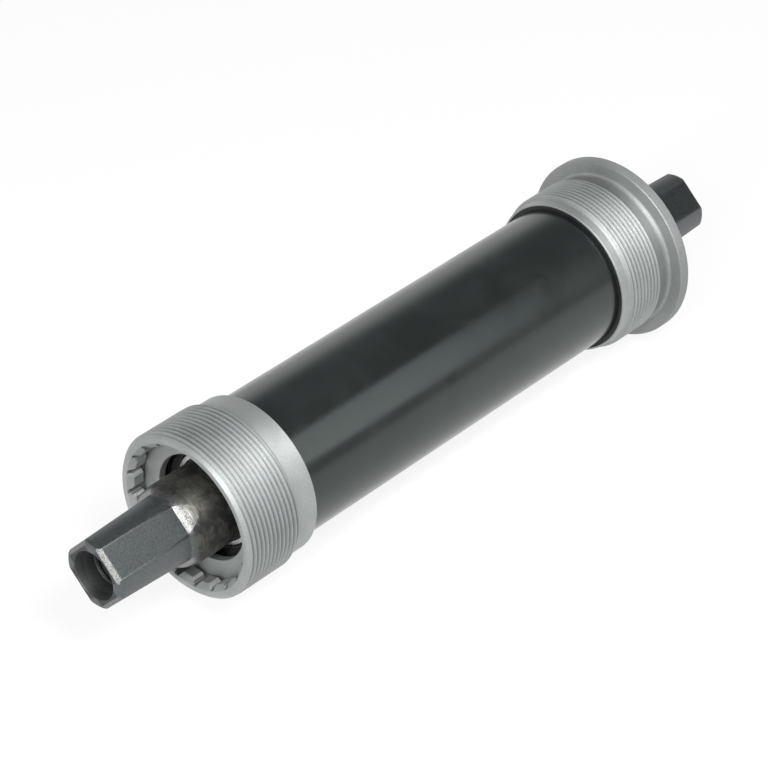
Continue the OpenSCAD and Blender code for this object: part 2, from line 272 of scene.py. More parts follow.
# %% Modelling helpers
ROUND_STEPS = 200
SAME_PLACE = 0.0005 * MM


def deselect():
    if bpy.context.object and bpy.context.object.mode != "OBJECT":
        bpy.ops.object.mode_set(mode="OBJECT")
    bpy.ops.object.select_all(action="DESELECT")


def make_active(piece):
    deselect()
    piece.select_set(True)
    bpy.context.view_layer.objects.active = piece


def draw_outline(name, points, closed=True):
    """A chain of vertices through points of (along X, out from the axis), in millimetres."""
    deselect()
    bpy.ops.mesh.primitive_plane_add(size=MM)
    piece = bpy.context.object
    piece.name = name
    bpy.ops.object.mode_set(mode="EDIT")
    bpy.ops.mesh.select_mode(type="VERT")
    bpy.ops.mesh.select_all(action="SELECT")
    bpy.ops.mesh.merge(type="CENTER")
    chain = list(points) + [points[0]] * closed
    here = (0, 0)
    for i, there in enumerate(chain):
        step = ((there[0] - here[0]) * MM, 0, (there[1] - here[1]) * MM)
        if i == 0:
            bpy.ops.transform.translate(value=step)
        else:
            bpy.ops.mesh.extrude_region_move(TRANSFORM_OT_translate={"value": step})
        here = there
    bpy.ops.mesh.select_all(action="SELECT")
    bpy.ops.mesh.remove_doubles(threshold=SAME_PLACE)
    bpy.ops.object.mode_set(mode="OBJECT")
    return piece


def round_corner(piece, point, radius, segments=4):
    """Rounds the outline's vertex at one point with a vertex bevel."""
    make_active(piece)
    bpy.ops.object.mode_set(mode="EDIT")
    bpy.ops.mesh.select_mode(type="VERT")
    bpy.ops.mesh.select_all(action="DESELECT")
    mesh = bmesh.from_edit_mesh(piece.data)
    target = Vector((point[0] * MM, 0, point[1] * MM))
    nearest = min(mesh.verts, key=lambda v: (v.co - target).length)
    nearest.select = True
    mesh.select_flush(True)
    bmesh.update_edit_mesh(piece.data)
    bpy.ops.mesh.bevel(offset=radius * MM, segments=segments, affect="VERTICES")
    bpy.ops.object.mode_set(mode="OBJECT")


def spin_round(piece, steps=ROUND_STEPS):
    make_active(piece)
    bpy.ops.object.mode_set(mode="EDIT")
    bpy.ops.mesh.select_all(action="SELECT")
    bpy.ops.mesh.spin(steps=steps, angle=2 * math.pi, center=(0, 0, 0), axis=(1, 0, 0))
    bpy.ops.mesh.select_all(action="SELECT")
    bpy.ops.mesh.remove_doubles(threshold=SAME_PLACE)
    bpy.ops.mesh.normals_make_consistent(inside=False)
    bpy.ops.object.mode_set(mode="OBJECT")


def turned_piece(name, points, rounds=()):
    """A lathe piece from a closed outline. rounds lists (number of the point, radius)."""
    piece = draw_outline(name, points)
    for number, radius in rounds:
        round_corner(piece, points[number], radius)
    spin_round(piece)
    return piece


def apply_modifier(piece, kind, **settings):
    make_active(piece)
    bpy.ops.object.modifier_add(type=kind)
    modifier = piece.modifiers[-1]
    for name, value in settings.items():
        setattr(modifier, name, value)
    bpy.ops.object.modifier_apply(modifier=modifier.name)


def cut_with(piece, cutter):
    apply_modifier(piece, "BOOLEAN", operation="DIFFERENCE", solver="EXACT", object=cutter)
    bpy.data.objects.remove(cutter)


def close_ends(piece):
    """Fills the open ends of a swept shape and turns its faces outward."""
    make_active(piece)
    bpy.ops.object.mode_set(mode="EDIT")
    bpy.ops.mesh.select_mode(type="EDGE")
    bpy.ops.mesh.select_all(action="DESELECT")
    bpy.ops.mesh.select_non_manifold()
    bpy.ops.mesh.fill_holes(sides=0)
    bpy.ops.mesh.select_all(action="SELECT")
    bpy.ops.mesh.normals_make_consistent(inside=False)
    bpy.ops.object.mode_set(mode="OBJECT")


def extrude_outline(piece, start, depth):
    """Fills a closed outline and extrudes it along Y, from start and as far as depth, in millimetres."""
    make_active(piece)
    bpy.ops.object.mode_set(mode="EDIT")
    bpy.ops.mesh.select_all(action="SELECT")
    bpy.ops.transform.translate(value=(0, start * MM, 0))
    bpy.ops.mesh.edge_face_add()
    bpy.ops.mesh.extrude_region_move(TRANSFORM_OT_translate={"value": (0, depth * MM, 0)})
    bpy.ops.mesh.select_all(action="SELECT")
    bpy.ops.mesh.normals_make_consistent(inside=False)
    bpy.ops.object.mode_set(mode="OBJECT")


def turn_about_x(piece, degrees):
    make_active(piece)
    piece.rotation_euler = (math.radians(degrees), 0, 0)
    bpy.ops.object.transform_apply(location=False, rotation=True, scale=False)


def ring_of_copies(piece, count):
    """The piece and its copies, evenly turned about the X axis and joined into one object."""
    ring = [piece]
    for i in range(1, count):
        copy = piece.copy()
        copy.data = piece.data.copy()
        bpy.context.scene.collection.objects.link(copy)
        turn_about_x(copy, i * 360 / count)
        ring.append(copy)
    deselect()
    for copy in ring:
        copy.select_set(True)
    bpy.context.view_layer.objects.active = piece
    bpy.ops.object.join()
    return piece


def finish_piece(piece, node, material, smooth_angle=30):
    """Shades a piece, gives it its finish and puts it in the place of the node of the same name."""
    make_active(piece)
    bpy.ops.object.shade_smooth_by_angle(angle=math.radians(smooth_angle))
    apply_modifier(piece, "WEIGHTED_NORMAL", keep_sharp=True)
    piece.data.materials.clear()
    piece.data.materials.append(material)
    bodies = frame["record"]["behaviour"]["bodies"]
    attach(piece, next(body for body, nodes in bodies.items() if node in nodes))
    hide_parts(node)
    piece.data.calc_loop_triangles()
    print(piece.name, "replaces", node, "with", len(piece.data.loop_triangles), "triangles")


print("modelling helpers ready")

# %% [markdown]
# ## Shared effects of the finishes
# The finishes share a few effects, and each is a node group. "Axis place" turns a point of the piece
# into its distance along the axis and out from it, in millimetres. "Grain" is the fine speckle of blasted
# or blackened metal. "Lathe marks" are rings that change only along the axis. "Smudges" are the broad soft
# patches that handling and oil leave.

# %% Node groups
def make_axis_place():
    group, enter, leave = new_group(
        "Axis place", {"Vector": "NodeSocketVector"},
        {"Vector": "NodeSocketVector", "Along": "NodeSocketFloat", "Radius": "NodeSocketFloat"})
    scaled = add_node(group, "ShaderNodeVectorMath", {0: enter.outputs["Vector"], "Scale": 1 / MM},
                      operation="SCALE")
    parts = add_node(group, "ShaderNodeSeparateXYZ", {"Vector": scaled.outputs[0]})
    y_square = math_node(group, "MULTIPLY", parts.outputs["Y"], parts.outputs["Y"])
    z_square = math_node(group, "MULTIPLY", parts.outputs["Z"], parts.outputs["Z"])
    radius = math_node(group, "SQRT", math_node(group, "ADD", y_square, z_square))
    group.links.new(scaled.outputs[0], leave.inputs["Vector"])
    group.links.new(parts.outputs["X"], leave.inputs["Along"])
    group.links.new(radius, leave.inputs["Radius"])
    return group


def make_grain():
    group, enter, leave = new_group(
        "Grain", {"Vector": "NodeSocketVector", "Grains per mm": "NodeSocketFloat"},
        {"Mask": "NodeSocketFloat"})
    noise = add_node(group, "ShaderNodeTexNoise",
                     {"Vector": enter.outputs["Vector"], "Scale": enter.outputs["Grains per mm"],
                      "Detail": 3.0, "Roughness": 0.6})
    group.links.new(map_range(group, noise.outputs["Fac"], 0.3, 0.7), leave.inputs["Mask"])
    return group


def make_lathe_marks():
    group, enter, leave = new_group(
        "Lathe marks", {"Along": "NodeSocketFloat", "Marks per mm": "NodeSocketFloat"},
        {"Mask": "NodeSocketFloat"})
    noise = add_node(group, "ShaderNodeTexNoise",
                     {"W": enter.outputs["Along"], "Scale": enter.outputs["Marks per mm"],
                      "Detail": 2.0, "Roughness": 0.5}, noise_dimensions="1D")
    group.links.new(map_range(group, noise.outputs["Fac"], 0.3, 0.7), leave.inputs["Mask"])
    return group


def make_smudges():
    group, enter, leave = new_group(
        "Smudges", {"Vector": "NodeSocketVector", "Patch mm": "NodeSocketFloat"},
        {"Mask": "NodeSocketFloat"})
    scale = math_node(group, "DIVIDE", 1.0, enter.outputs["Patch mm"])
    noise = add_node(group, "ShaderNodeTexNoise",
                     {"Vector": enter.outputs["Vector"], "Scale": scale, "Detail": 4.0,
                      "Roughness": 0.55, "Distortion": 0.6})
    group.links.new(map_range(group, noise.outputs["Fac"], 0.35, 0.68), leave.inputs["Mask"])
    return group


AXIS_PLACE = make_axis_place()
GRAIN = make_grain()
LATHE_MARKS = make_lathe_marks()
SMUDGES = make_smudges()
print("node groups:", [g.name for g in (AXIS_PLACE, GRAIN, LATHE_MARKS, SMUDGES)])

# %% [markdown]
# ### Starting a material
# Every finish begins alike, with a Principled shader and the place of the shaded point in millimetres.
# Fine relief is added alike too: a bump whose depth is given in millimetres.

# %% Starting a material
def start_material(name):
    """A material with its shader, and the place of the shaded point in millimetres."""
    material = bpy.data.materials.new(name)
    material.use_nodes = True
    tree = material.node_tree
    shader = next(n for n in tree.nodes if n.type == "BSDF_PRINCIPLED")
    spot = add_node(tree, "ShaderNodeTexCoord")
    place = use_group(tree, AXIS_PLACE, {"Vector": spot.outputs["Object"]})
    return material, tree, shader, place.outputs


def add_bump(tree, shader, height, depth_mm):
    bump = add_node(tree, "ShaderNodeBump", {"Height": height, "Distance": depth_mm * MM, "Strength": 1.0})
    tree.links.new(bump.outputs["Normal"], shader.inputs["Normal"])


print("material start ready")

# %% [markdown]
# ## Satin alloy
# The cups are turned from aluminium and left satin, so they are pale and slightly speckled. The lathe's
# rings run around the axis, and they draw each lamp's sheen out along it, which the shader's anisotropy
# shows. The thread roots, the socket's grooves and the relief behind the flange are painted darker as
# shade, and the flange itself is painted a little darker as shade. Each place is a mask that fades over a
# range of millimetres, out from the axis or along it.

# %% Satin alloy
ALLOY_TONES = ((0.399, 0.417, 0.414, 1), (0.457, 0.477, 0.474, 1))
ALLOY_SPECK = (0.321, 0.336, 0.334, 1)
SPECK_SHARE = 0.35
# Painted shade: the tone that the thread roots, grooves, relief and flange are darkened towards.
PAINTED_SHADE_TONE = (0.09, 0.093, 0.093, 1)
ROOT_FADES = ((16.62, 16.75), (17.28, 16.98))
THREAD_FADES = ((-61.7, -61.3), (58.6, 58.2))
# Painted shade in the thread roots.
THREAD_ROOT_SHADE = 0.14
GROOVE_FADES = ((14.7, 15.2), (15.6, 15.5))
SOCKET_FADE = (4.6, 4.4)
MOUTH_FADE = (15.7, 16.2)
# Painted shade in the socket's grooves between the splines.
GROOVE_SHADE = 0.5
RELIEF_FADES = ((16.0, 16.3), (17.2, 16.6))
RELIEF_START = (57.6, 57.9)
# Painted shade in the relief behind the flange.
RELIEF_SHADE = 0.35
FLANGE_START = (61.2, 61.5)
# Painted shade over the flange.
FLANGE_SHADE = 0.24
ALLOY_ROUGH = (0.58, 0.68)
FLANGE_RIM = (19.86, 19.91)
RIM_ROUGH = 0.22
SHEEN_STRETCH = 0.35
QUARTER_TURN = 0.25
RING_SHARE = 0.6
ALLOY_RELIEF = 0.006

LEFT_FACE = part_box("left_cup")[0].x / MM
RIGHT_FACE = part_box("right_cup")[1].x / MM


def satin_alloy():
    material, tree, shader, place = start_material("satin_alloy")
    along, radius = place["Along"], place["Radius"]
    grain = use_group(tree, GRAIN, {"Vector": place["Vector"], "Grains per mm": 4.0}).outputs["Mask"]
    rings = use_group(tree, LATHE_MARKS, {"Along": along, "Marks per mm": 3.0}).outputs["Mask"]
    patches = use_group(tree, SMUDGES, {"Vector": place["Vector"], "Patch mm": 9.0}).outputs["Mask"]
    tone = mix_colour(tree, patches, *ALLOY_TONES)
    speckled = mix_colour(tree, math_node(tree, "MULTIPLY", grain, SPECK_SHARE), tone, ALLOY_SPECK)

    # Painted shade: the thread roots are darkened.
    in_thread = combine(tree, "MULTIPLY", band(tree, radius, *ROOT_FADES), band(tree, along, *THREAD_FADES),
                        THREAD_ROOT_SHADE)
    depth = math_node(tree, "MINIMUM", math_node(tree, "SUBTRACT", along, LEFT_FACE),
                      math_node(tree, "SUBTRACT", RIGHT_FACE, along))
    behind_mouth = map_range(tree, math_node(tree, "ADD", radius, depth), *MOUTH_FADE)
    # Painted shade: the socket's grooves are darkened behind the mouth.
    in_groove = combine(tree, "MULTIPLY", band(tree, radius, *GROOVE_FADES),
                        map_range(tree, depth, *SOCKET_FADE), behind_mouth, GROOVE_SHADE)
    # Painted shade: the relief behind the flange is darkened.
    in_relief = combine(tree, "MULTIPLY", band(tree, radius, *RELIEF_FADES),
                        map_range(tree, along, *RELIEF_START), RELIEF_SHADE)
    # Painted shade: the flange is painted a little darker.
    on_flange = map_range(tree, along, *FLANGE_START, 0.0, FLANGE_SHADE)
    # All the painted shade together darkens the alloy towards its shade tone.
    painted_shade = combine(tree, "MAXIMUM", in_thread, in_groove, in_relief, on_flange)
    tree.links.new(mix_colour(tree, painted_shade, speckled, PAINTED_SHADE_TONE), shader.inputs["Base Color"])

    shader.inputs["Metallic"].default_value = 1.0
    turning = add_node(tree, "ShaderNodeTangent", direction_type="RADIAL", axis="X")
    tree.links.new(turning.outputs["Tangent"], shader.inputs["Tangent"])
    shader.inputs["Anisotropic"].default_value = SHEEN_STRETCH
    shader.inputs["Anisotropic Rotation"].default_value = QUARTER_TURN
    rough = math_node(tree, "ADD", map_range(tree, grain, 0, 1, *ALLOY_ROUGH),
                      map_range(tree, radius, *FLANGE_RIM, 0.0, RIM_ROUGH))
    tree.links.new(rough, shader.inputs["Roughness"])
    height = math_node(tree, "ADD", grain, math_node(tree, "MULTIPLY", rings, RING_SHARE))
    add_bump(tree, shader, height, ALLOY_RELIEF)
    return material


SATIN_ALLOY = satin_alloy()
print("finish:", SATIN_ALLOY.name)

# %% [markdown]
# ## Black tube and blackened spindle
# The tube is steel with a smooth black coat that mirrors the tent softly. The spindle is chemically
# blackened steel: dark grey on the ground flats, and olive brown and oily where it goes into the bearing.
# The end bevels and the curved run-outs of the flats are painted pale as a painted highlight, the bolt
# hole is painted dark as painted shade, darkest deep inside, and the olive is painted lighter towards
# the cup as painted light.
# Both ends are alike, so the masks use the distance outward from the spindle's middle.

# %% Black finishes
TUBE_TONES = ((0.005, 0.0065, 0.0065, 1), (0.009, 0.011, 0.011, 1))
TUBE_ROUGH = (0.17, 0.22)
TUBE_GRAIN_ROUGH = 0.05
TUBE_IOR = 1.65
TUBE_TINT = (0.86, 1.0, 0.96, 1)
TUBE_RELIEF = 0.002

SPINDLE_TURN = 43.0
FLAT_EDGE = (3.7, 2.9)
FLAT_TONES = ((0.056, 0.062, 0.064, 1), (0.079, 0.086, 0.088, 1))
CORNER_TONES = ((0.118, 0.130, 0.134, 1), (0.165, 0.179, 0.184, 1))
SHANK_START = (68.2, 66.0)
SHANK_LIFT = (8.4, 8.0)
MOTTLE_RANGE = (0.6, 1.2)
OUTER_OLIVES = ((0.045, 0.046, 0.043, 1), (0.125, 0.119, 0.102, 1))
# Painted light: the lighter olive nearer the cup.
PAINTED_LIGHT_OLIVES = ((0.110, 0.112, 0.102, 1), (0.250, 0.241, 0.208, 1))
PAINTED_LIGHT_FADE = (66.5, 63.0)
OLIVE_SHARE = 0.95
# Painted highlight: the pale steel tone of the end bevels and run-outs.
PAINTED_HIGHLIGHT_TONES = ((0.13, 0.13, 0.126, 1), (0.33, 0.33, 0.318, 1))
RUNOUT_START = (68.0, 67.6)
RUNOUT_LIFT = (8.3, 7.7)
BEVEL_FADES = ((84.7, 84.85), (85.48, 85.42))
BEVEL_HIGHLIGHT = 0.7
CONE_EDGE = (5.25, 5.05)
# Painted shade: the dark tone of the bolt hole's cone.
CONE_SHADE_TONE = (0.064, 0.069, 0.067, 1)
NEAR_ENDS = (60.0, 61.0)
HOLE_EDGE = (4.45, 4.15)
# Painted shade: the bore of the bolt hole is darker deep inside.
HOLE_SHADE_FADE = (81.2, 81.6)
HOLE_SHADE_TONES = ((0.028, 0.030, 0.031, 1), (0.100, 0.108, 0.107, 1))
STEEL_ROUGH = (0.34, 0.46)
SHANK_DULL = 0.12
HOLE_DULL = 0.25
STEEL_RELIEF = 0.004


def black_tube():
    material, tree, shader, place = start_material("black_tube")
    patches = use_group(tree, SMUDGES, {"Vector": place["Vector"], "Patch mm": 14.0}).outputs["Mask"]
    grain = use_group(tree, GRAIN, {"Vector": place["Vector"], "Grains per mm": 2.5}).outputs["Mask"]
    tree.links.new(mix_colour(tree, patches, *TUBE_TONES), shader.inputs["Base Color"])
    rough = math_node(tree, "ADD", map_range(tree, patches, 0, 1, *TUBE_ROUGH),
                      math_node(tree, "MULTIPLY", grain, TUBE_GRAIN_ROUGH))
    tree.links.new(rough, shader.inputs["Roughness"])
    shader.inputs["IOR"].default_value = TUBE_IOR
    shader.inputs["Specular Tint"].default_value = TUBE_TINT
    add_bump(tree, shader, grain, TUBE_RELIEF)
    return material


def flat_mask(tree, vector):
    """One on the four ground flats of the spindle's ends, zero on the corners between them."""
    turn = math.radians(SPINDLE_TURN)
    across = []
    for direction in ((0, math.cos(turn), math.sin(turn)), (0, -math.sin(turn), math.cos(turn))):
        dot = add_node(tree, "ShaderNodeVectorMath", {0: vector, 1: direction}, operation="DOT_PRODUCT")
        across.append(math_node(tree, "ABSOLUTE", dot.outputs["Value"]))
    return map_range(tree, math_node(tree, "MINIMUM", *across), *FLAT_EDGE)


def blackened_steel():
    material, tree, shader, place = start_material("blackened_steel")
    radius = place["Radius"]
    outward = math_node(tree, "ABSOLUTE", place["Along"])
    grain = use_group(tree, GRAIN, {"Vector": place["Vector"], "Grains per mm": 3.0}).outputs["Mask"]
    patches = use_group(tree, SMUDGES, {"Vector": place["Vector"], "Patch mm": 2.2}).outputs["Mask"]
    marks = use_group(tree, LATHE_MARKS, {"Along": place["Along"], "Marks per mm": 2.0}).outputs["Mask"]
    on_flat = flat_mask(tree, place["Vector"])
    tone = mix_colour(tree, on_flat, mix_colour(tree, grain, *CORNER_TONES),
                      mix_colour(tree, grain, *FLAT_TONES))

    cut_away = math_node(tree, "MULTIPLY", on_flat, map_range(tree, radius, *SHANK_LIFT))
    shank = math_node(tree, "MULTIPLY", map_range(tree, outward, *SHANK_START),
                      map_range(tree, cut_away, 1.0, 0.0))
    mottle = math_node(tree, "MULTIPLY", patches, map_range(tree, marks, 0, 1, *MOTTLE_RANGE))
    # Painted light: nearer the cup the olive is painted lighter.
    olive = mix_colour(tree, map_range(tree, outward, *PAINTED_LIGHT_FADE),
                       mix_colour(tree, mottle, *OUTER_OLIVES), mix_colour(tree, mottle, *PAINTED_LIGHT_OLIVES))
    browned = mix_colour(tree, math_node(tree, "MULTIPLY", shank, OLIVE_SHARE), tone, olive)

    # Painted highlight: the run-outs and end bevels of the flats are painted a pale steel tone.
    run_out = math_node(tree, "MULTIPLY", map_range(tree, outward, *RUNOUT_START),
                        map_range(tree, radius, *RUNOUT_LIFT))
    bevel = math_node(tree, "MULTIPLY", band(tree, outward, *BEVEL_FADES), BEVEL_HIGHLIGHT)
    painted_highlight = math_node(tree, "MULTIPLY", on_flat, math_node(tree, "MAXIMUM", run_out, bevel))
    ground = mix_colour(tree, painted_highlight, browned, mix_colour(tree, grain, *PAINTED_HIGHLIGHT_TONES))

    # Painted shade: the bolt hole's cone is painted dark, and its bore darker still deep inside.
    in_cone = math_node(tree, "MULTIPLY", map_range(tree, radius, *CONE_EDGE),
                        map_range(tree, outward, *NEAR_ENDS))
    cone_shaded = mix_colour(tree, in_cone, ground, CONE_SHADE_TONE)
    in_hole = math_node(tree, "MULTIPLY", map_range(tree, radius, *HOLE_EDGE), in_cone)
    hole_shade = mix_colour(tree, map_range(tree, outward, *HOLE_SHADE_FADE), *HOLE_SHADE_TONES)
    tree.links.new(mix_colour(tree, in_hole, cone_shaded, hole_shade), shader.inputs["Base Color"])

    shader.inputs["Metallic"].default_value = 1.0
    dull = math_node(tree, "MAXIMUM", math_node(tree, "MULTIPLY", shank, SHANK_DULL),
                     math_node(tree, "MULTIPLY", in_cone, HOLE_DULL))
    rough = math_node(tree, "ADD", map_range(tree, grain, 0, 1, *STEEL_ROUGH), dull)
    tree.links.new(rough, shader.inputs["Roughness"])
    add_bump(tree, shader, grain, STEEL_RELIEF)
    return material


BLACK_TUBE = black_tube()
BLACKENED_STEEL = blackened_steel()
print("finishes:", BLACK_TUBE.name, BLACKENED_STEEL.name)

# %% [markdown]
# ## Rubber, bearing steel, balls, cage steel and sleeve
# These sit deep in the cups or inside the tube. Each is simple, but none is a flat colour.

# %% Small finishes
def speckled_finish(name, dark, light, grains_per_mm, rough, metallic, depth_mm, marks_per_mm=0.0):
    """A two-tone speckled finish, with lathe marks where marks_per_mm is given."""
    material, tree, shader, place = start_material(name)
    grain = use_group(tree, GRAIN, {"Vector": place["Vector"], "Grains per mm": grains_per_mm})
    mask = grain.outputs["Mask"]
    if marks_per_mm:
        marks = use_group(tree, LATHE_MARKS, {"Along": place["Along"], "Marks per mm": marks_per_mm})
        mask = math_node(tree, "MULTIPLY", math_node(tree, "ADD", mask, marks.outputs["Mask"]), 0.5)
    tree.links.new(mix_colour(tree, mask, (*dark, 1), (*light, 1)), shader.inputs["Base Color"])
    tree.links.new(map_range(tree, mask, 0, 1, *rough), shader.inputs["Roughness"])
    shader.inputs["Metallic"].default_value = metallic
    add_bump(tree, shader, mask, depth_mm)
    return material


BLACK_RUBBER = speckled_finish(
    "black_rubber", dark=(0.005, 0.005, 0.005), light=(0.011, 0.011, 0.011), grains_per_mm=3.0,
    rough=(0.55, 0.75), metallic=0.0, depth_mm=0.010)
BEARING_STEEL = speckled_finish(
    "bearing_steel", dark=(0.50, 0.51, 0.52), light=(0.62, 0.63, 0.64), grains_per_mm=1.5,
    rough=(0.18, 0.32), metallic=1.0, depth_mm=0.002, marks_per_mm=6.0)
POLISHED_BALLS = speckled_finish(
    "polished_balls", dark=(0.70, 0.71, 0.72), light=(0.78, 0.79, 0.80), grains_per_mm=1.0,
    rough=(0.04, 0.09), metallic=1.0, depth_mm=0.0005)
CAGE_STEEL = speckled_finish(
    "cage_steel", dark=(0.42, 0.39, 0.32), light=(0.55, 0.52, 0.44), grains_per_mm=2.0,
    rough=(0.28, 0.42), metallic=1.0, depth_mm=0.004)
SLEEVE_PLASTIC = speckled_finish(
    "sleeve_plastic", dark=(0.66, 0.65, 0.60), light=(0.76, 0.75, 0.71), grains_per_mm=1.5,
    rough=(0.45, 0.60), metallic=0.0, depth_mm=0.006)
print("small finishes ready")

# %% [markdown]
# ## The tube
# The tube carries the bearings, and its ends are rolled in over them as thin lips. It is a plain lathe
# piece, and only the rounding of its ends sets it apart from a cylinder.

# %% Tube
TUBE_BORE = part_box("left_bearing_outer_ring")[1].z / MM
LIP_HEIGHT = 0.7
TUBE_END_ROUND = 0.4

tube_low, tube_high = [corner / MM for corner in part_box("shell_tube")]
tube_radius = tube_high.z
left_bearing_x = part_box("left_bearing_outer_ring")[0].x / MM
right_bearing_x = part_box("right_bearing_outer_ring")[1].x / MM
lip_radius = TUBE_BORE - LIP_HEIGHT
tube = turned_piece("tube", [
    (tube_low.x, lip_radius), (tube_low.x, tube_radius), (tube_high.x, tube_radius),
    (tube_high.x, lip_radius), (right_bearing_x, lip_radius), (right_bearing_x, TUBE_BORE),
    (left_bearing_x, TUBE_BORE), (left_bearing_x, lip_radius),
], [(1, TUBE_END_ROUND), (2, TUBE_END_ROUND)])
finish_piece(tube, "shell_tube", BLACK_TUBE)

# %% [markdown]
# ## Screw threads
# A thread is one long groove that winds round the cup. Rings would look alike from afar, but a real
# thread climbs by one pitch in each turn. The groove's section is drawn once, the Screw modifier
# winds it up, and a Boolean cuts it. The cutter starts and ends in the air, so the groove runs out cleanly.

# %% Thread cutter
THREAD_PITCH = 1.058
THREAD_DEPTH = 0.56
THREAD_FLAT = 0.16
CUTTER_LIFT = 0.08
TURN_STEPS = 160


def thread_cutter(start, turns, pitch, ridge_radius, depth, flat, hand, inward=1):
    """A wound groove cutter. hand is 1 for a right-hand thread and -1 for a left-hand one.
    inward is 1 for a thread on the outside of a piece and -1 for one in a hole."""
    slope = ((pitch - flat) - flat) / 2 / depth
    mouth = (pitch - flat) / 2 + CUTTER_LIFT * slope
    top = ridge_radius + inward * CUTTER_LIFT
    root = ridge_radius - inward * depth
    cutter = draw_outline("thread_cutter", [
        (start - mouth, top), (start - flat / 2, root), (start + flat / 2, root), (start + mouth, top)])
    apply_modifier(cutter, "SCREW", axis="X", angle=2 * math.pi, screw_offset=hand * pitch * MM,
                   iterations=turns, steps=TURN_STEPS, render_steps=TURN_STEPS)
    close_ends(cutter)
    turn_about_x(cutter, 90 / ROUND_STEPS)
    return cutter


print("thread cutter ready")

# %% [markdown]
# ## The cups
# Both cups have the same inside: a shallow cone at the mouth, a ring of splines for the fitting tool,
# a web with a wide hole for the spindle, and a bore for the tube. Only their outsides differ, so the inside
# is one list of points that both outlines use. The splines are the walls left between grooves, and one
# rounded groove cutter is drawn, copied round the axis and cut out at once.

# %% Cup inside
RIM_INNER = 15.45
MOUTH_DEPTH = 1.1
SPLINE_TIP = 14.35
SPLINE_ROOT = 15.4
SPLINE_LENGTH = 3.4
SOCKET_DEPTH = 4.35
WEB_BACK = 6.05
WEB_RADIUS = 11.1
RUBBER_SEAT = 1.95
SPLINE_COUNT = 20
SPLINE_TURN = 11.0
GROOVE_ROOT = 1.1
GROOVE_MOUTH = 1.6
SPLINE_TIP_ROUND = 0.45
GROOVE_FLARE = 1.2
GROOVE_ROUNDS = ((0, 0.25), (7, 0.25), (1, 0.3), (6, 0.3), (2, 0.3), (5, 0.3))
CUTTER_BELOW = 1.0
CUTTER_EASE = 0.05
CUTTER_START = 1.0
CUTTER_PAST = 0.1
INSIDE_ROUNDS = ((4, 0.12), (5, 0.25), (6, 0.2), (9, 0.12))

thread_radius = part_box("left_cup")[1].z / MM
rubber_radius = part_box("left_rubber_ring")[1].z / MM


def cup_inside(length, bore):
    return [
        (length, rubber_radius), (length - RUBBER_SEAT, rubber_radius), (length - RUBBER_SEAT, bore),
        (WEB_BACK, bore), (WEB_BACK, WEB_RADIUS), (SOCKET_DEPTH, WEB_RADIUS),
        (SOCKET_DEPTH, SPLINE_ROOT), (SPLINE_LENGTH, SPLINE_ROOT), (SPLINE_LENGTH, SPLINE_TIP),
        (MOUTH_DEPTH, SPLINE_TIP), (0, RIM_INNER),
    ]


def spline_cutter(face, inward):
    """Grooves between the splines of a cup whose mouth is at face and whose inside lies inward."""
    shoulder = SPLINE_TIP + SPLINE_TIP_ROUND
    slope = (GROOVE_MOUTH - GROOVE_ROOT) / 2 / (SPLINE_ROOT - SPLINE_TIP)
    waist = GROOVE_ROOT / 2 + (SPLINE_ROOT - shoulder) * slope
    flare = waist + GROOVE_FLARE * SPLINE_TIP_ROUND
    half = [(GROOVE_ROOT / 2, SPLINE_ROOT), (waist, shoulder), (flare, SPLINE_TIP - CUTTER_EASE),
            (flare, SPLINE_TIP - CUTTER_BELOW)]
    points = half + [(-x, r) for x, r in reversed(half)]
    cutter = draw_outline("spline_cutter", points)
    for number, radius in GROOVE_ROUNDS:
        round_corner(cutter, points[number], radius, segments=3)
    extrude_outline(cutter, 0, CUTTER_START + SPLINE_LENGTH + CUTTER_PAST)
    cutter.rotation_euler = (0, 0, -math.pi / 2 * inward)
    cutter.location = ((face - inward * CUTTER_START) * MM, 0, 0)
    bpy.ops.object.transform_apply(location=True, rotation=True, scale=False)
    turn_about_x(cutter, SPLINE_TURN - 90)
    return ring_of_copies(cutter, SPLINE_COUNT)


def turned_cup(name, face, inward, outside, outside_rounds, length, bore, rim_round):
    """A cup with its splines, but without its thread. outside lists points of (depth from the mouth,
    out from the axis), and the numbers in outside_rounds are those of its points."""
    outline = outside + cup_inside(length, bore)
    rounds = list(outside_rounds) + [(len(outside) + number, radius) for number, radius in INSIDE_ROUNDS]
    rounds.append((len(outline) - 1, rim_round))
    cup = turned_piece(name, [(face + inward * u, r) for u, r in outline], rounds)
    cut_with(cup, spline_cutter(face, inward))
    return cup


print("cup inside ready")

# %% [markdown]
# ### The left cup
# The left cup is a plain cylinder outside: a bevelled start, the thread, and a smooth band at the inner end.
# Its bore has a little play, because this cup comes off the tube.

# %% Left cup
LEAD_BEVEL = 0.9
THREAD_END = 12.75
BAND_START = 13.35
BAND_RADIUS = 16.55
LEFT_PLAY = 0.05
LEFT_ROUNDS = ((0, 0.12), (1, 0.12), (2, 0.1), (3, 0.3), (4, 0.16))
LEFT_RIM_ROUND = 0.15
LEFT_LEAD = 0.25
LEFT_TURNS = 14

left_length = (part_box("left_cup")[1].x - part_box("left_cup")[0].x) / MM
left_bore = tube_radius + LEFT_PLAY
left_cup = turned_cup("left_cup_body", LEFT_FACE, 1, [
    (0, thread_radius - LEAD_BEVEL), (LEAD_BEVEL, thread_radius), (THREAD_END, thread_radius),
    (BAND_START, BAND_RADIUS), (left_length, BAND_RADIUS),
], LEFT_ROUNDS, left_length, left_bore, LEFT_RIM_ROUND)
cut_with(left_cup, thread_cutter(LEFT_FACE - LEFT_LEAD, LEFT_TURNS, THREAD_PITCH, thread_radius,
                                 THREAD_DEPTH, THREAD_FLAT, hand=1))
finish_piece(left_cup, "left_cup", SATIN_ALLOY)

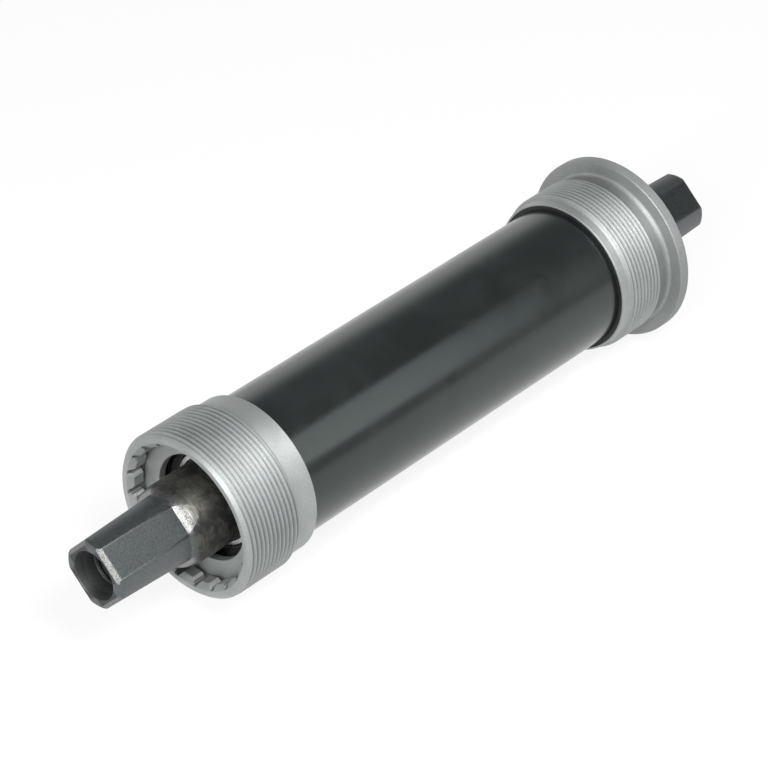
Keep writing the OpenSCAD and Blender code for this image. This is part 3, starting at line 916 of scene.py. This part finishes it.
# %% [markdown]
# ### The drive-side cup
# The drive-side cup has a flange that stops it at the frame, with a relief behind it where the thread
# cutter ran out. Its thread is left-handed, so that pedalling does not loosen it.

# %% Drive-side cup
FLANGE_THICKNESS = 2.5
RELIEF_RADIUS = 16.5
RELIEF_END = 6.25
DRIVE_THREAD_END = 14.55
DRIVE_BAND_START = 15.15
DRIVE_ROUNDS = ((0, 0.3), (1, 0.3), (2, 1.0), (3, 0.15), (4, 0.12), (5, 0.1), (6, 0.3), (7, 0.16))
DRIVE_RIM_ROUND = 0.08
DRIVE_LEAD = 0.6
DRIVE_TURNS = 10

flange_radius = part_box("right_cup")[1].z / MM
right_length = (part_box("right_cup")[1].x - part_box("right_cup")[0].x) / MM
right_cup = turned_cup("right_cup_body", RIGHT_FACE, -1, [
    (0, flange_radius), (FLANGE_THICKNESS, flange_radius), (FLANGE_THICKNESS, RELIEF_RADIUS),
    (RELIEF_END, RELIEF_RADIUS), (RELIEF_END, thread_radius), (DRIVE_THREAD_END, thread_radius),
    (DRIVE_BAND_START, BAND_RADIUS), (right_length, BAND_RADIUS),
], DRIVE_ROUNDS, right_length, tube_radius, DRIVE_RIM_ROUND)
cut_with(right_cup, thread_cutter(RIGHT_FACE - RELIEF_END + DRIVE_LEAD, DRIVE_TURNS, THREAD_PITCH,
                                  thread_radius, THREAD_DEPTH, THREAD_FLAT, hand=-1))
finish_piece(right_cup, "right_cup", SATIN_ALLOY)

# %% [markdown]
# ## The spindle
# The spindle starts as one lathe piece with a drilled hole in each end. The square ends are then milled:
# a cutter with the section of one flat, its bevel and its run-out is drawn once and turned to all four
# sides. Last, a thread for the crank bolt is cut in each hole.

# %% Spindle blank
JOURNAL = 8.5
SHOULDER = 9.3
SHOULDER_LENGTH = 6.0
WAIST = 8.0
CORNER_TIP = 7.25
CORNER_END = 7.55
CORNER_BEVEL = 0.5
FLAT_LENGTH = 17.75
FLAT_END = 6.985
RUNOUT = 4.0
SHOULDER_STEPS = ((0.22, 0.43, 0.55), (0.47, 0.74, 0.85), (0.73, 0.93, 1.0))
END_BEVEL = 0.7
HOLE_RADIUS = 3.45
HOLE_DEPTH = 22.0
HOLE_TIP = 24.0
RELIEF_BORE = 4.15
RELIEF_DEPTH = 4.0
RELIEF_FLOOR = 4.7
MOUTH_RADIUS = 5.2
MOUTH_CONE = 1.82
END_ROUNDS = ((5, 0.12), (6, 0.42), (7, 0.42), (8, 0.3), (9, 0.4), (10, 0.4), (11, 0.4))

half_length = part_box("spindle")[1].x / MM
end_outline = [
    (HOLE_TIP, 0), (HOLE_DEPTH, HOLE_RADIUS), (RELIEF_FLOOR, HOLE_RADIUS),
    (RELIEF_DEPTH, RELIEF_BORE), (MOUTH_CONE, RELIEF_BORE), (0, MOUTH_RADIUS),
    (0, CORNER_TIP - CORNER_BEVEL), (END_BEVEL, CORNER_TIP), (FLAT_LENGTH, CORNER_END),
] + [(FLAT_LENGTH + u * RUNOUT, CORNER_END + r * (JOURNAL - CORNER_END)) for u, _, r in SHOULDER_STEPS]
left_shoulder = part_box("left_bearing_outer_ring")[1].x / MM
right_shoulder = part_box("right_bearing_outer_ring")[0].x / MM
blank = [(u - half_length, r) for u, r in end_outline] + [
    (left_shoulder, JOURNAL), (left_shoulder, SHOULDER), (left_shoulder + SHOULDER_LENGTH, SHOULDER),
    (left_shoulder + 2 * SHOULDER_LENGTH, WAIST), (right_shoulder - 2 * SHOULDER_LENGTH, WAIST),
    (right_shoulder - SHOULDER_LENGTH, SHOULDER), (right_shoulder, SHOULDER), (right_shoulder, JOURNAL),
] + [(half_length - u, r) for u, r in reversed(end_outline)]
spindle = draw_outline("spindle_body", blank, closed=False)
for number, radius in END_ROUNDS:
    for place in (number, len(blank) - 1 - number):
        round_corner(spindle, blank[place], radius, segments=3)
spin_round(spindle)
print("blank:", len(spindle.data.polygons), "faces")

# %% [markdown]
# ### Flats and bolt threads
# The flats slope by two degrees, as on every square-taper spindle. The cutter's outline follows one flat from
# its end bevel to the curved run-out, and reaches well past the spindle on the other sides.

# %% Spindle flats and bolt threads
FLAT_TIP = 6.365
FLAT_SLOPE = math.tan(math.radians(2))
BEVEL_TIP = 5.48
FLAT_ROUNDS = ((1, 0.2), (2, 0.25), (3, 0.4), (4, 0.45), (5, 0.45))
RUNOUT_PAST = 0.06
CUTTER_AHEAD = 1.0
CUTTER_TOP = 14.0
CUTTER_WIDTH = 24.0
SIDES = 4
SPINDLE_SMOOTH = 32
BOLT_PITCH = 1.25
BOLT_DEPTH = 0.6
BOLT_FLAT = 0.2
BOLT_TURNS = 15


def flats_cutter(end):
    """The cutter of one flat. end is -1 for the left end of the spindle and 1 for the right one."""
    bevel_top = FLAT_TIP + END_BEVEL * FLAT_SLOPE
    bevel_slope = (bevel_top - BEVEL_TIP) / END_BEVEL
    rise = JOURNAL + RUNOUT_PAST - FLAT_END
    shape = [(-CUTTER_AHEAD, BEVEL_TIP - CUTTER_AHEAD * bevel_slope), (END_BEVEL, bevel_top),
             (FLAT_LENGTH, FLAT_END)]
    shape += [(FLAT_LENGTH + u * RUNOUT, FLAT_END + r * rise) for u, r, _ in SHOULDER_STEPS]
    shape += [(FLAT_LENGTH + RUNOUT, FLAT_END + rise), (FLAT_LENGTH + RUNOUT, CUTTER_TOP),
              (-CUTTER_AHEAD, CUTTER_TOP)]
    points = [(end * (half_length - u), r) for u, r in shape]
    cutter = draw_outline("flats_cutter", points)
    for number, radius in FLAT_ROUNDS:
        round_corner(cutter, points[number], radius)
    extrude_outline(cutter, -CUTTER_WIDTH / 2, CUTTER_WIDTH)
    turn_about_x(cutter, SPINDLE_TURN - 90)
    return cutter


for end in (-1, 1):
    for side in range(SIDES):
        cutter = flats_cutter(end)
        turn_about_x(cutter, side * 360 / SIDES)
        cut_with(spindle, cutter)
    start = end * (half_length - RELIEF_DEPTH)
    cut_with(spindle, thread_cutter(start, BOLT_TURNS, BOLT_PITCH, HOLE_RADIUS, BOLT_DEPTH, BOLT_FLAT,
                                    hand=-end, inward=-1))
finish_piece(spindle, "spindle", BLACKENED_STEEL, smooth_angle=SPINDLE_SMOOTH)

# %% [markdown]
# ## Rubber rings and seals
# A rubber ring closes the gap between each cup's inner end and the tube. The seals close the bearings,
# and each has a thin lip that runs on the inner ring. All four shapes are small lathe pieces.

# %% Rubber rings and seals
RING_ROUNDS = ((0, 0.05), (1, 0.08), (2, 0.08), (3, 0.05))
LIP_GAP = 0.1
SEAL_DISH = 0.2
SEAL_RIM = (0.6, 0.8)
SEAL_LIP = (0.5, 0.8)
SEAL_ROUNDS = ((2, 0.12), (7, 0.12), (6, 0.1), (3, 0.1))

for side, bore in (("left", left_bore), ("right", tube_radius)):
    low, high = [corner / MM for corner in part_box(side + "_rubber_ring")]
    ring = turned_piece(side + "_rubber_ring_soft", [
        (low.x, bore), (low.x, high.z), (high.x, high.z), (high.x, bore)], RING_ROUNDS)
    finish_piece(ring, side + "_rubber_ring", BLACK_RUBBER)

for side, outward in (("left", -1), ("right", 1)):
    low, high = [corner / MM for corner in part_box(side + "_outer_seal")]
    inner, outer = (low.x, high.x) if outward > 0 else (high.x, low.x)
    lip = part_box(side + "_bearing_inner_ring")[1].z / MM + LIP_GAP
    dish = outer - outward * SEAL_DISH
    seal = turned_piece(side + "_outer_seal_lip", [
        (inner, lip), (inner, high.z), (outer, high.z), (outer, high.z - SEAL_RIM[0]),
        (dish, high.z - SEAL_RIM[1]), (dish, lip + SEAL_LIP[1]), (outer, lip + SEAL_LIP[0]), (outer, lip),
    ], SEAL_ROUNDS)
    finish_piece(seal, side + "_outer_seal", BLACK_RUBBER)

# %% [markdown]
# ## Pieces inside the tube
# The bearing rings, balls, cages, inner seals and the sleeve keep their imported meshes, which are exact,
# and take a finish of their own.

# %% Inner pieces
INNER_FINISHES = {
    "bearing_outer_ring": BEARING_STEEL, "bearing_inner_ring": BEARING_STEEL,
    "bearing_balls": POLISHED_BALLS, "cage_outer_half": CAGE_STEEL, "cage_inner_half": CAGE_STEEL,
    "inner_seal": BLACK_RUBBER,
}
finishes = {"spacer_sleeve": SLEEVE_PLASTIC}
for side in ("left", "right"):
    for part, material in INNER_FINISHES.items():
        finishes[side + "_" + part] = material
for name, material in finishes.items():
    for material_slot in frame["nodes"][name].material_slots:
        material_slot.material = material
print("inner pieces finished")

# %% [markdown]
# ## The end
# Last, nothing is left selected. The visual model has to fill the same box as the imported one.

# %% Finish
deselect()
